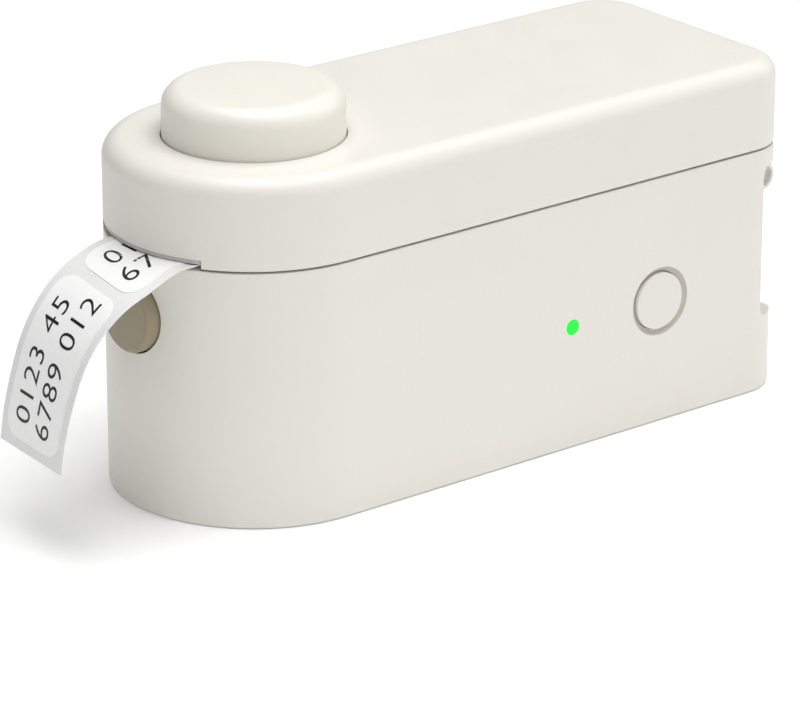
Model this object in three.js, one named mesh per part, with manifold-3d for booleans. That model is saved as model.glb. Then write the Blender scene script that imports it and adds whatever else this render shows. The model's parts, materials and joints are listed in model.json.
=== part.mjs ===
// Label maker: a pocket thermal printer with a hinged lid, a cutter button and a roll of die-cut labels.
// Millimetres. +X points to the hinge end, -X to the round front with the tape slot, +Z up.
// The origin is on the resting plane, under the middle of the body.
import * as THREE from 'three';
import { mergeVertices } from 'three/addons/utils/BufferGeometryUtils.js';
import Module from 'manifold-3d';

const wasm = await Module();
wasm.setup();

// ---- Driving dimensions -------------------------------------------------------------------------

const BODY = { length: 122.6, width: 50, height: 60, rearRadius: 8.8, wall: 2 };
const SEAM = { low: 44.45, high: 44.8 };
const CASE_BOTTOM = 0.15;
const BASE = { low: 1, high: 2.9, pad: 0.9 };
const FRONT_RADIUS = BODY.width / 2;
const REAR_X = BODY.length / 2;
const FRONT_X = FRONT_RADIUS - BODY.length / 2;
const FAR = 40;
const BEYOND = 5;
const GAP = 0.4;
const INNER = BODY.wall;
const FIT = BODY.wall + GAP;
const LID_CEILING = BODY.height - BODY.wall;

const TAPE = { width: 19.5, y: -3, thickness: 0.25, z: 44.65, margin: 1.75 };
const TAPE_NEAR = TAPE.y - TAPE.width / 2;
const TAPE_FAR = TAPE.y + TAPE.width / 2;

const ROLL = { x: 2, z: 28.5, radius: 16.1, coreOuter: 10.5, coreInner: 8.8, hub: 8.6, journal: 3 };
const PLATEN = { x: -46, z: 39.6, radius: 5, shaft: 1.5 };
const GEAR = { module: 0.7, y: 10.2, width: 3 };
const TEETH = { platen: 16, idler: 20, pinion: 10 };
const IDLER_ANGLE = -52 * Math.PI / 180;
const PINION_ANGLE = -66 * Math.PI / 180;

const PLATE = { near: -15.5, far: 8, thickness: 1.5, top: 43.8, bottom: 9.5 };
const HINGE = { x: 58.3, z: 37.6, radius: 2.7, half: 20.5, lidHalf: 12, web: 2.2 };
const HINGE_PIN = { radius: 1.2, half: 18, lidBore: 1.3, caseBore: 1.22, recess: 1.9, recessDepth: 0.9 };
const CHANNEL = { floor: 54.5, low: 13.6, high: 41.2 };
const SOCKET = { half: 4.4, low: 4.5, high: 7.5, rear: REAR_X - 0.2 };
const SCREW = { head: 2.5, shank: 1.1, slot: 0.3, boss: 3.3, bossLow: 3.2, bossHigh: 9.2, pilot: 1.2 };
const CUTTER = { radius: 15.1, hole: 15.4, top: 68.3, rounding: 2.6, wall: 1.6, stem: 2.6 };
const CUTTER_FLANGE = { radius: 16.4, low: 56.6, high: 57.7 };
const RELEASE = { radius: 6.7, y: 0.3, z: 34.4, face: -62.9, back: -57.6 };
const YOKE = { low: 31, high: 33.4 };
const POWER = { x: 31, z: 22.2, radius: 5.05, ring: 6.05 };
const LIGHT = { x: 11.5, z: 22, radius: 1.35 };
const BOARD = { low: -18.6, high: -17.2 };

// ---- Colours and finishes -----------------------------------------------------------------------

const finish = (color, roughness, metalness = 0) => ({ color, roughness, metalness });
const CREAM = finish('#e6e2d8', 0.5);
const DARK = finish('#3a3b3d', 0.6);
const GREY = finish('#9a9a98', 0.55);
const TAN = finish('#b3a88c', 0.5);
const STEEL = finish('#b9bcc0', 0.3, 1);
const BRASS = finish('#c0a050', 0.35, 1);
const ALUMINIUM = finish('#c4c7ca', 0.4, 1);
const RUBBER = finish('#26272a', 0.9);
const NYLON = finish('#e9e8e2', 0.55);
const LINER = finish('#e4e6e8', 0.5);
const LABEL = finish('#fbfbfa', 0.6);
const CARD = finish('#b9a58a', 0.85);
const CIRCUIT = finish('#1f5a3a', 0.5);
const BLACK = finish('#191a1c', 0.45);
const GREEN = finish('#35ff4a', 0.3);
const CELL = finish('#5a7fb0', 0.45);
const ORANGE = finish('#c98b3a', 0.4);

// ---- Solids and booleans ------------------------------------------------------------------------

function solidOf(geometry) {
  const plain = geometry.index ? geometry.toNonIndexed() : geometry.clone();
  plain.deleteAttribute('normal');
  plain.deleteAttribute('uv');
  const merged = mergeVertices(plain, 1e-4);
  const mesh = new wasm.Mesh({
    numProp: 3,
    vertProperties: new Float32Array(merged.attributes.position.array),
    triVerts: new Uint32Array(merged.index.array),
  });
  return new wasm.Manifold(mesh);
}

function geometryOf(solid) {
  const mesh = solid.getMesh();
  const geometry = new THREE.BufferGeometry();
  geometry.setAttribute('position', new THREE.BufferAttribute(new Float32Array(mesh.vertProperties), 3));
  geometry.setIndex(new THREE.BufferAttribute(new Uint32Array(mesh.triVerts), 1));
  geometry.computeVertexNormals();
  return geometry;
}

const join = (...solids) => solids.reduce((sum, solid) => sum.add(solid));
const cut = (solid, ...tools) => tools.reduce((rest, tool) => rest.subtract(tool), solid);

// A block between two opposite corners.
function block(low, high) {
  const size = high.map((value, axis) => value - low[axis]);
  const geometry = new THREE.BoxGeometry(...size);
  geometry.translate(...low.map((value, axis) => value + size[axis] / 2));
  return solidOf(geometry);
}

// A round bar along one axis, from a to b, with its centre line through the two other coordinates.
function bar(axis, radius, a, b, u, v, segments = 32) {
  const geometry = new THREE.CylinderGeometry(radius, radius, b - a, segments);
  const middle = (a + b) / 2;
  if (axis === 'x') {
    geometry.rotateZ(Math.PI / 2);
    geometry.translate(middle, u, v);
  }
  if (axis === 'y') {
    geometry.translate(u, middle, v);
  }
  if (axis === 'z') {
    geometry.rotateX(Math.PI / 2);
    geometry.translate(u, v, middle);
  }
  return solidOf(geometry);
}

const tube = (axis, outer, inner, a, b, u, v, segments = 32) =>
  cut(bar(axis, outer, a, b, u, v, segments), bar(axis, inner, a - 1, b + 1, u, v, segments));

// A flat shape in the XY plane, raised from z = low to z = high.
function raise(shape, low, high, curveSegments = 24) {
  const options = { depth: high - low, bevelEnabled: false, curveSegments };
  const geometry = new THREE.ExtrudeGeometry(shape, options);
  geometry.translate(0, 0, low);
  return solidOf(geometry);
}

// A shape drawn with x and z as its two coordinates, spread along y from near to far.
function spread(shape, near, far, curveSegments = 12) {
  const options = { depth: far - near, bevelEnabled: false, curveSegments };
  const geometry = new THREE.ExtrudeGeometry(shape, options);
  geometry.rotateX(Math.PI / 2);
  geometry.translate(0, far, 0);
  return solidOf(geometry);
}

function polygon(points) {
  return new THREE.Shape(points.map(([x, y]) => new THREE.Vector2(x, y)));
}

// A profile of [radius, height] pairs turned about a vertical line through (x, y).
function turn(profile, x, y, segments = 48) {
  const geometry = new THREE.LatheGeometry(profile.map(([r, h]) => new THREE.Vector2(r, h)), segments);
  geometry.rotateX(Math.PI / 2);
  geometry.translate(x, y, 0);
  return solidOf(geometry);
}

// Points along an arc, both ends included.
function arc(x, y, radius, start, end, steps) {
  return Array.from({ length: steps + 1 }, (_, i) => {
    const angle = start + (end - start) * i / steps;
    return [x + radius * Math.cos(angle), y + radius * Math.sin(angle)];
  });
}

// The body's outline in plan, moved inwards by inset: half circle in front, two rounded rear corners.
function outline(inset) {
  const half = BODY.width / 2 - inset;
  const rear = REAR_X - inset;
  const corner = Math.max(BODY.rearRadius - inset, 0.8);
  const nearCorner = arc(rear - corner, -half + corner, corner, -Math.PI / 2, 0, 6);
  const farCorner = arc(rear - corner, half - corner, corner, 0, Math.PI / 2, 6);
  const front = arc(FRONT_X, 0, half, Math.PI / 2, Math.PI * 3 / 2, 24);
  return polygon([...nearCorner, ...farCorner, ...front]);
}

const bodyPrism = (inset, low, high) => raise(outline(inset), low, high);

// A round wire spring along z, between two heights.
function coil(radius, wire, low, high, turns, x, y) {
  const points = [];
  const steps = turns * 8;
  for (let i = 0; i <= steps; i += 1) {
    const angle = (i / 8) * Math.PI * 2;
    const height = low + wire + (high - low - 2 * wire) * i / steps;
    points.push(new THREE.Vector3(x + radius * Math.cos(angle), y + radius * Math.sin(angle), height));
  }
  const path = new THREE.CatmullRomCurve3(points);
  const section = new THREE.Shape().absarc(0, 0, wire, 0, Math.PI * 2, false);
  const options = { steps, curveSegments: 3, extrudePath: path, bevelEnabled: false };
  return solidOf(new THREE.ExtrudeGeometry(section, options));
}

// ---- The scene graph ----------------------------------------------------------------------------

const labelMaker = new THREE.Group();
labelMaker.name = 'label_maker';

function add(name, solid, look) {
  const material = new THREE.MeshStandardMaterial(look);
  const mesh = new THREE.Mesh(geometryOf(solid), material);
  mesh.name = name;
  labelMaker.add(mesh);
}

// ---- Case, base and feet ------------------------------------------------------------------------

const SCREW_PLACES = [[-46, -17.4], [-46, 17.4], [50, -19.8], [50, 19.8]];

function addLowerCase() {
  const outside = bodyPrism(0, CASE_BOTTOM, SEAM.low);
  const channel = block([CHANNEL.floor, -FAR, CHANNEL.low], [REAR_X + BEYOND, FAR, CHANNEL.high]);
  const channelWall = block(
    [CHANNEL.floor - INNER, -FAR, CHANNEL.low - INNER],
    [REAR_X + BEYOND, FAR, SEAM.low + 1],
  );
  const inside = bodyPrism(INNER, CASE_BOTTOM - 1, SEAM.low + 1);
  let shell = cut(cut(outside, channel), cut(inside, channelWall));
  for (const [x, y] of SCREW_PLACES) {
    shell = join(shell, bar('z', SCREW.boss, SCREW.bossLow, SCREW.bossHigh, x, y, 20));
  }
  const lidSpan = HINGE.lidHalf + GAP;
  const outerKnuckles = [[-HINGE.half, -lidSpan], [lidSpan, HINGE.half]];
  for (const [near, far] of outerKnuckles) {
    shell = join(
      shell,
      bar('y', HINGE.radius, near, far, HINGE.x, HINGE.z, 24),
      block([CHANNEL.floor - 1, near, HINGE.z - HINGE.web], [HINGE.x, far, HINGE.z + HINGE.web]),
    );
  }
  const edgeCut = (size, z) => block([-size, -FAR, -size], [size, FAR, size])
    .rotate([0, 45, 0])
    .translate([REAR_X, 0, z]);
  const pinRecess = bar('y', HINGE_PIN.recess, HINGE.half - HINGE_PIN.recessDepth, FAR, HINGE.x, HINGE.z, 20);
  const armNotch = block(
    [CHANNEL.floor, -lidSpan, CHANNEL.high - 1],
    [REAR_X + BEYOND, lidSpan, SEAM.low + 1],
  );
  const socketMouth = block(
    [REAR_X - BEYOND, -SOCKET.half - 0.3, SOCKET.low - 0.3],
    [REAR_X + BEYOND, SOCKET.half + 0.3, SOCKET.high + 0.3],
  );
  const wallHole = (radius, x, z) =>
    bar('y', radius, -FRONT_RADIUS - BEYOND, -FRONT_RADIUS + BEYOND, x, z, 40);
  shell = cut(
    shell,
    edgeCut(1, SEAM.low),
    edgeCut(1.5, CHANNEL.high),
    edgeCut(1, CHANNEL.low),
    armNotch,
    pinRecess,
    pinRecess.mirror([0, 1, 0]),
    bar('y', HINGE_PIN.caseBore, -HINGE.half - 1, HINGE.half + 1, HINGE.x, HINGE.z, 16),
    bar('x', RELEASE.radius + 0.35, -REAR_X - BEYOND, -50, RELEASE.y, RELEASE.z, 40),
    wallHole(LIGHT.radius + 0.1, LIGHT.x, LIGHT.z),
    wallHole(POWER.ring + 0.1, POWER.x, POWER.z),
    socketMouth,
    ...SCREW_PLACES.map(([x, y]) => bar('z', SCREW.pilot, 0, SCREW.bossHigh - 0.8, x, y, 16)),
  );
  add('lower_case', shell, CREAM);
}

function addBasePlate() {
  const inset = INNER + 0.3;
  let plate = bodyPrism(inset, BASE.low, BASE.high);
  for (const [x, y] of SCREW_PLACES) {
    const clearance = bar('z', SCREW.shank + GAP, 0, 4, x, y, 16);
    const counterbore = bar('z', SCREW.head + 0.3, 0, BASE.low + 1.2, x, y, 24);
    plate = cut(plate, clearance, counterbore);
  }
  add('base_plate', plate, DARK);
  SCREW_PLACES.forEach(([x, y], index) => {
    const head = bar('z', SCREW.head, 1.1, 2.1, x, y, 24);
    const shank = bar('z', SCREW.shank, 2, 7.8, x, y, 16);
    const slot = block([x - 1.6, y - SCREW.slot, 0.8], [x + 1.6, y + SCREW.slot, 1.5]);
    const cross = block([x - SCREW.slot, y - 1.6, 0.8], [x + SCREW.slot, y + 1.6, 1.5]);
    add(`base_screw_${index + 1}`, cut(join(head, shank), slot, cross), STEEL);
  });
  const pad = new THREE.Shape();
  const padCorner = 7;
  const [front, rear, half] = [-36, 42, 15];
  pad.absarc(rear - padCorner, -half + padCorner, padCorner, -Math.PI / 2, 0, false);
  pad.absarc(rear - padCorner, half - padCorner, padCorner, 0, Math.PI / 2, false);
  pad.absarc(front + padCorner, half - padCorner, padCorner, Math.PI / 2, Math.PI, false);
  pad.absarc(front + padCorner, -half + padCorner, padCorner, Math.PI, Math.PI * 3 / 2, false);
  add('foot_pad', raise(pad, 0, BASE.pad, 8), RUBBER);
}

// ---- Frame that carries the roll, the platen and the drive --------------------------------------

const idlerCentre = (() => {
  const reach = GEAR.module * (TEETH.platen + TEETH.idler) / 2;
  return [PLATEN.x + reach * Math.cos(IDLER_ANGLE), PLATEN.z + reach * Math.sin(IDLER_ANGLE)];
})();
const pinionCentre = (() => {
  const reach = GEAR.module * (TEETH.idler + TEETH.pinion) / 2;
  return [
    idlerCentre[0] + reach * Math.cos(PINION_ANGLE),
    idlerCentre[1] + reach * Math.sin(PINION_ANGLE),
  ];
})();

function addChassis() {
  const [front, rear, step, stepHeight] = [-51.7, 24, -47, 35];
  const side = polygon([
    [front, stepHeight], [front, PLATE.top], [rear, PLATE.top],
    [rear, PLATE.bottom], [step, PLATE.bottom], [step, stepHeight],
  ]);
  const cradleOuter = ROLL.radius + 3.4;
  const cradleInner = ROLL.radius + 1.4;
  const [near, far] = [PLATE.near, PLATE.far + PLATE.thickness];
  const cradle = cut(
    bar('y', cradleOuter, near, far, ROLL.x, ROLL.z, 48),
    bar('y', cradleInner, near - 1, far + 1, ROLL.x, ROLL.z, 48),
    block([-REAR_X, -FAR, ROLL.z + 2], [REAR_X, FAR, BODY.height]),
    block([-REAR_X, -FAR, 0], [REAR_X, FAR, PLATE.bottom]),
  );
  const guide = block([-40, near, 41.8], [-18.5, far, 43.3]);
  const bed = block([step, near, PLATE.bottom], [-10, far, PLATE.bottom + PLATE.thickness]);
  const anvilBar = block([front, near, 36.5], [front + GAP, far, 40]);
  const braces = join(cradle, guide, bed, anvilBar);
  let chassis = join(
    spread(side, PLATE.near, PLATE.near + PLATE.thickness),
    spread(side, PLATE.far, PLATE.far + PLATE.thickness),
    braces,
  );
  chassis = cut(
    chassis,
    bar('y', 3.1, -FAR, FAR, PLATEN.x, PLATEN.z, 32),
    bar('y', ROLL.journal + 0.2, -FAR, FAR, ROLL.x, ROLL.z, 32),
    block([ROLL.x - ROLL.journal - 0.2, -FAR, ROLL.z], [ROLL.x + ROLL.journal + 0.2, FAR, BODY.height]),
    bar('y', 2, 0, FAR, pinionCentre[0], pinionCentre[1], 24),
    bar('y', 1.2, 0, FAR, idlerCentre[0], idlerCentre[1], 16),
    block([-38.7, TAPE.y - 2.2, 42], [-33.3, TAPE.y + 2.2, 50]),
  );
  add('chassis', chassis, GREY);
  for (const [name, start] of [['bush_near', PLATE.near], ['bush_far', PLATE.far]]) {
    const [from, to] = [start + 0.1, start + PLATE.thickness - 0.1];
    add(name, tube('y', 3, PLATEN.shaft + 0.08, from, to, PLATEN.x, PLATEN.z, 32), BRASS);
  }
  add('idler_pin', bar('y', 1.15, 8.2, 14.2, idlerCentre[0], idlerCentre[1], 16), STEEL);
  add('fixed_blade', block([-52.7, -13.6, 36.8], [-52, 7.6, 44.3]), STEEL);
  add('gap_sensor', block([-38.2, TAPE.y - 1.9, 42.2], [-33.8, TAPE.y + 1.9, 44.1]), BLACK);
}

function addMotor() {
  const [x, z] = pinionCentre;
  const can = cut(bar('y', 8.8, -9, 7.6, x, z, 40), bar('y', 0.9, 3, 9, x, z, 16));
  add('stepper_motor', can, STEEL);
}

// One spur gear with straight-sided teeth close to the involute, bored for its shaft.
function gear(teeth, centre, bore, toothAngle) {
  const pitch = GEAR.module * teeth / 2;
  const root = pitch - 1.2 * GEAR.module;
  const tip = pitch + 0.85 * GEAR.module;
  const step = Math.PI * 2 / teeth;
  const halves = [[root, 0.33], [pitch, 0.225], [tip, 0.11]];
  const points = [];
  for (let tooth = 0; tooth < teeth; tooth += 1) {
    const middle = toothAngle + tooth * step;
    for (const [radius, half] of halves) {
      points.push([radius * Math.cos(middle - half * step), radius * Math.sin(middle - half * step)]);
    }
    for (const [radius, half] of [...halves].reverse()) {
      points.push([radius * Math.cos(middle + half * step), radius * Math.sin(middle + half * step)]);
    }
  }
  const [x, z] = centre;
  const shape = polygon(points.map(([a, b]) => [a + x, b + z]));
  const wheel = spread(shape, GEAR.y, GEAR.y + GEAR.width);
  return cut(wheel, bar('y', bore, GEAR.y - 1, GEAR.y + GEAR.width + 1, x, z, 16));
}

function addDrive() {
  const platenCentre = [PLATEN.x, PLATEN.z];
  const toothAtIdler = IDLER_ANGLE;
  const idlerGap = IDLER_ANGLE + Math.PI + Math.PI / TEETH.idler;
  const idlerStep = Math.PI * 2 / TEETH.idler;
  const towardPinion = (PINION_ANGLE - idlerGap) / idlerStep;
  const nearestTooth = Math.round(towardPinion);
  const idlerOffset = (towardPinion - nearestTooth) * idlerStep;
  const pinionOffset = idlerOffset * TEETH.idler / TEETH.pinion;
  const pinionGap = PINION_ANGLE + Math.PI + Math.PI / TEETH.pinion + pinionOffset;
  add('platen_gear', gear(TEETH.platen, platenCentre, PLATEN.shaft + 0.08, toothAtIdler), NYLON);
  add('idler_gear', gear(TEETH.idler, idlerCentre, 1.25, idlerGap), NYLON);
  add('motor_pinion', gear(TEETH.pinion, pinionCentre, 0.88, pinionGap), BRASS);
  add('motor_shaft', bar('y', 0.8, 3.4, 14, pinionCentre[0], pinionCentre[1], 16), STEEL);
  add('platen_shaft', bar('y', PLATEN.shaft, -16.6, 14, PLATEN.x, PLATEN.z, 24), STEEL);
  const sleeve = tube('y', PLATEN.radius, PLATEN.shaft + 0.05, -13.3, 7.3, PLATEN.x, PLATEN.z, 40);
  add('platen_rubber', sleeve, RUBBER);
}

// ---- Label roll and tape ------------------------------------------------------------------------

function addRoll() {
  const [x, z] = [ROLL.x, ROLL.z];
  add('label_roll', tube('y', ROLL.radius, ROLL.coreOuter + 0.1, TAPE_NEAR, TAPE_FAR, x, z, 48), LABEL);
  add('roll_core', tube('y', ROLL.coreOuter, ROLL.coreInner, TAPE_NEAR, TAPE_FAR, x, z, 40), CARD);
  const drum = bar('y', ROLL.hub, TAPE_NEAR - 0.4, TAPE_FAR + 0.4, x, z, 28);
  const journals = bar('y', ROLL.journal, PLATE.near - 0.2, PLATE.far + PLATE.thickness + 0.2, x, z, 24);
  const bore = bar('y', 1.6, -FAR, FAR, x, z, 20);
  const pockets = [-1, 1].map((sign) => {
    const face = TAPE.y + sign * (TAPE.width / 2 + 0.5);
    const inner = TAPE.y + sign * 1;
    return tube('y', ROLL.hub - 1.4, 4.2, Math.min(face, inner), Math.max(face, inner), x, z, 24);
  });
  add('roll_hub', cut(join(drum, journals), bore, ...pockets), DARK);
}

// The printed strip outside the slot. As it falls its near edge hangs lower (tilt) and further out
// (reach), and the whole strip drifts sideways.
const STRIP = { start: -53.9, exit: -59, top: 45.2, fall: 53, onset: 0.18 };
const LEAN = { reach: 0.077, tilt: 0.11, drift: 2.5 };

function lean(solid) {
  return solid.warp((point) => {
    const across = point[1] - TAPE.y;
    const fallen = Math.max((STRIP.exit - point[0] + STRIP.top - point[2]) / STRIP.fall, 0);
    const begun = THREE.MathUtils.smoothstep(fallen, 0, STRIP.onset);
    point[0] += across * LEAN.reach * begun;
    point[1] += LEAN.drift * fallen;
    point[2] += across * LEAN.tilt * (1 - fallen) * begun;
  });
}

// The middle line of the strip in side view: flat through the slot, then curling down.
const stripLine = new THREE.CatmullRomCurve3([
  [STRIP.start, 44.95], [-58, 45.25], [-61.6, 45], [-66.1, 43.3], [-70, 41.4], [-73.2, 38.9],
  [-76, 35.5], [-78.2, 31.4], [-80, 26], [-81.4, 20], [-82.1, 14.5],
].map(([x, z]) => new THREE.Vector3(x, z, 0)), false, 'centripetal');
const STRIP_LENGTH = stripLine.getLength();
const STEP_ALONG_STRIP = 1.1;

// A thin layer along the strip, between two distances from its start and two heights above it.
function stripLayer(from, to, below, above, near, far) {
  const steps = Math.round((to - from) / STEP_ALONG_STRIP);
  const upper = [];
  const lower = [];
  for (let i = 0; i <= steps; i += 1) {
    const distance = Math.min((from + (to - from) * i / steps) / STRIP_LENGTH, 1);
    const point = stripLine.getPointAt(distance);
    const along = stripLine.getTangentAt(distance);
    const normal = new THREE.Vector2(along.y, -along.x);
    upper.push([point.x + normal.x * above, point.y + normal.y * above]);
    lower.push([point.x + normal.x * below, point.y + normal.y * below]);
  }
  return lean(spread(polygon([...upper, ...lower.reverse()]), near, far));
}

function addTape() {
  const half = TAPE.thickness / 2;
  const web = block([-52.75, TAPE_NEAR, TAPE.z], [ROLL.x, TAPE_FAR, TAPE.z + TAPE.thickness]);
  add('tape_web', web, LINER);
  add('printed_strip', stripLayer(0, STRIP_LENGTH, -half, half, TAPE_NEAR, TAPE_FAR), LINER);
  const [near, far] = [TAPE_NEAR + TAPE.margin, TAPE_FAR - TAPE.margin];
  const labels = [['label_first', 17.1, STRIP_LENGTH - 1.8], ['label_second', 0.4, 15]];
  for (const [name, from, to] of labels) {
    add(name, stripLayer(from, to, half + 0.1, half + 0.22, near, far), LABEL);
  }
}

// ---- Electronics --------------------------------------------------------------------------------

function addElectronics() {
  const boardFace = BOARD.low - 0.05;
  add('main_board', block([-6, BOARD.low, 5], [44, BOARD.high, 40]), CIRCUIT);
  add('processor', block([16, boardFace - 1.2, 26], [25, boardFace, 35]), BLACK);
  const ledLow = [LIGHT.x - 1.6, boardFace - 1, LIGHT.z - 0.8];
  add('status_led', block(ledLow, [LIGHT.x + 1.6, boardFace, LIGHT.z + 0.8]), NYLON);
  add('light_pipe', bar('y', LIGHT.radius, -25, boardFace - 1.3, LIGHT.x, LIGHT.z, 24), GREEN);
  const switchBody = block([POWER.x - 3, -20.9, POWER.z - 3], [POWER.x + 3, boardFace, POWER.z + 3]);
  add('tact_switch', join(switchBody, bar('y', 1.5, -21.6, -20.5, POWER.x, POWER.z, 20)), BLACK);
  const ringHole = bar('y', POWER.radius + 0.2, -30, -20, POWER.x, POWER.z, 40);
  const ringLip = bar('y', POWER.ring + 1, -22.9, -22.1, POWER.x, POWER.z, 40);
  const ring = cut(join(bar('y', POWER.ring, -24.4, -22.1, POWER.x, POWER.z, 40), ringLip), ringHole);
  add('power_ring', ring, GREY);
  add('power_button', bar('y', POWER.radius, -25, -22.4, POWER.x, POWER.z, 40), CREAM);
  const socket = block([53, -SOCKET.half, SOCKET.low], [SOCKET.rear, SOCKET.half, SOCKET.high]);
  const mouth = block(
    [55, -SOCKET.half + 0.5, SOCKET.low + 0.5],
    [REAR_X + 1, SOCKET.half - 0.5, SOCKET.high - 0.5],
  );
  add('usb_socket', cut(socket, mouth), STEEL);
  add('usb_board', block([40, -8, 3.2], [58.5, 8, 4.3]), CIRCUIT);
  add('lid_switch', block([28, BOARD.high + 0.1, 34], [34, BOARD.high + 4, 40.5]), BLACK);
  add('battery', block([-30, -15, 3.2], [30, 15, 8.4]), CELL);
}

// ---- Lid ----------------------------------------------------------------------------------------

const LID_BOSSES = [[-24, -19], [-24, 19], [-49.6, -14.9], [-49.6, 14.9]];
const TOP_ROUNDING = 3.2;
const TAPE_SLOT = { top: 46.3, half: 13.65 };

// The lid's outside, with its upper edge rounded in steps of a quarter circle.
function lidOutside() {
  const straight = bodyPrism(0, SEAM.high, BODY.height - TOP_ROUNDING);
  const steps = 4;
  let solid = straight;
  for (let i = 0; i < steps; i += 1) {
    const middle = (i + 0.5) / steps * Math.PI / 2;
    const low = BODY.height - TOP_ROUNDING + TOP_ROUNDING * Math.sin(i / steps * Math.PI / 2);
    const high = BODY.height - TOP_ROUNDING + TOP_ROUNDING * Math.sin((i + 1) / steps * Math.PI / 2);
    solid = solid.add(bodyPrism(TOP_ROUNDING * (1 - Math.cos(middle)), low - 0.01, high));
  }
  return solid;
}

function addLid() {
  const inside = join(
    bodyPrism(INNER, SEAM.high - 1, BODY.height - TOP_ROUNDING - 0.4),
    bodyPrism(INNER + 1.2, SEAM.high, LID_CEILING),
  );
  let shell = cut(lidOutside(), inside, bar('z', CUTTER.hole, 50, 70, FRONT_X, 0, 44));
  for (const [x, y] of LID_BOSSES) {
    shell = join(shell, bar('z', 2, 50.9, LID_CEILING + 0.5, x, y, 16));
  }
  const knuckle = bar('y', HINGE.radius, -HINGE.lidHalf, HINGE.lidHalf, HINGE.x, HINGE.z, 24);
  const arm = block([HINGE.x - 1.2, -HINGE.lidHalf, HINGE.z], [60.2, HINGE.lidHalf, 48.5]);
  shell = cut(
    join(shell, knuckle, arm),
    bar('y', HINGE_PIN.lidBore, -FAR, FAR, HINGE.x, HINGE.z, 16),
    block([-70, -TAPE_SLOT.half, SEAM.high - 1], [-50, TAPE_SLOT.half, TAPE_SLOT.top]),
  );
  add('lid_shell', shell, CREAM);
  const pin = bar('y', HINGE_PIN.radius, -HINGE_PIN.half, HINGE_PIN.half, HINGE.x, HINGE.z, 16);
  add('hinge_pin', pin, STEEL);
}

function addLidLiner() {
  const plate = bodyPrism(FIT, 46, 47.5).intersect(block([-17, -40, 40], [56.4, 40, 50]));
  const hooks = [-1, 1].map((sign) => {
    const [inner, outer] = [sign * 18.2, sign * 20.2];
    const [near, far] = [Math.min(inner, outer), Math.max(inner, outer)];
    const tip = sign * 17.2;
    const leg = block([-15.5, near, 29], [-13.5, far, 47]);
    const toe = block([-15.5, Math.min(tip, near), 29], [-13.5, Math.max(tip, far), 30.6]);
    return join(leg, toe);
  });
  const presser = bar('z', 1.5, 41, 46.5, 31, BOARD.high + 2, 20);
  add('lid_liner', join(plate, ...hooks, presser), GREY);
}

function addCutterFrame() {
  let plate = bodyPrism(FIT, 49.3, 50.7).intersect(block([-52, -40, 40], [-19, 40, 60]));
  const cups = [-10, 4].map((y) => bar('z', 2.6, 49.5, 52.1, -44, y, 24));
  const cupBores = [-10, 4].map((y) => bar('z', 1.9, 49, 51.2, -44, y, 24));
  plate = cut(join(plate, ...cups), ...cupBores, bar('z', CUTTER.stem + 0.2, 40, 60, FRONT_X, 0, 32));
  add('cutter_frame', plate, DARK);
}

function addPrintHead() {
  const [near, far] = [TAPE_NEAR - 0.6, TAPE_FAR + 0.6];
  add('print_head', block([-49.8, near, 45], [-41, far, 45.9]), CELL);
  const sink = join(block([-49.8, near, 46], [-40, far, 47.2]), block([-41.4, near, 47.1], [-40, far, 48.5]));
  add('heat_sink', sink, ALUMINIUM);
  add('head_spring_near', coil(1.4, 0.25, 47.4, 50.9, 4, -44, -10), STEEL);
  add('head_spring_far', coil(1.4, 0.25, 47.4, 50.9, 4, -44, 4), STEEL);
  const route = polygon([
    [-37.6, 46.1], [-34, 46.1], [-20, 48], [52, 48], [52, 48.3], [-20, 48.3], [-34.1, 46.4], [-37.6, 46.4],
  ]);
  add('head_cable', spread(route, -12, -4), ORANGE);
}

// ---- Cutter -------------------------------------------------------------------------------------

function addCutter() {
  const { radius, top, rounding, wall } = CUTTER;
  const { radius: flange, low: skirt, high: flangeTop } = CUTTER_FLANGE;
  const hollow = radius - wall;
  const ceiling = top - 1.5;
  const profile = [[0, ceiling], [hollow, ceiling], [hollow, skirt], [flange, skirt]];
  profile.push([flange, flangeTop], [radius, flangeTop]);
  const steps = 5;
  for (let i = 0; i <= steps; i += 1) {
    const angle = i / steps * Math.PI / 2;
    profile.push([radius - rounding * (1 - Math.cos(angle)), top - rounding * (1 - Math.sin(angle))]);
  }
  profile.push([0, top]);
  add('cutter_button', turn(profile, FRONT_X, 0, 44), CREAM);
  const stem = join(bar('z', CUTTER.stem, 49.4, 66.5, FRONT_X, 0, 24), bar('z', 4, 65, 66.5, FRONT_X, 0, 24));
  add('cutter_stem', stem, DARK);
  add('cutter_spring', coil(4.2, 0.4, 50.9, 64.8, 6, FRONT_X, 0), STEEL);
  const lip = block([-54.4, -13.4, 55], [-51.9, 7.4, 56.3]);
  const neck = block([-52.5, -8, 55], [-48.5, 5, 56.3]);
  const holder = block([-54.4, -13.4, 49.8], [-53.7, 7.4, 55.5]);
  add('blade_carrier', join(lip, neck, holder), DARK);
  add('cutting_blade', block([-53.6, -13, 46], [-53, 7, 53]), STEEL);
}

// ---- Lid release --------------------------------------------------------------------------------

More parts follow.
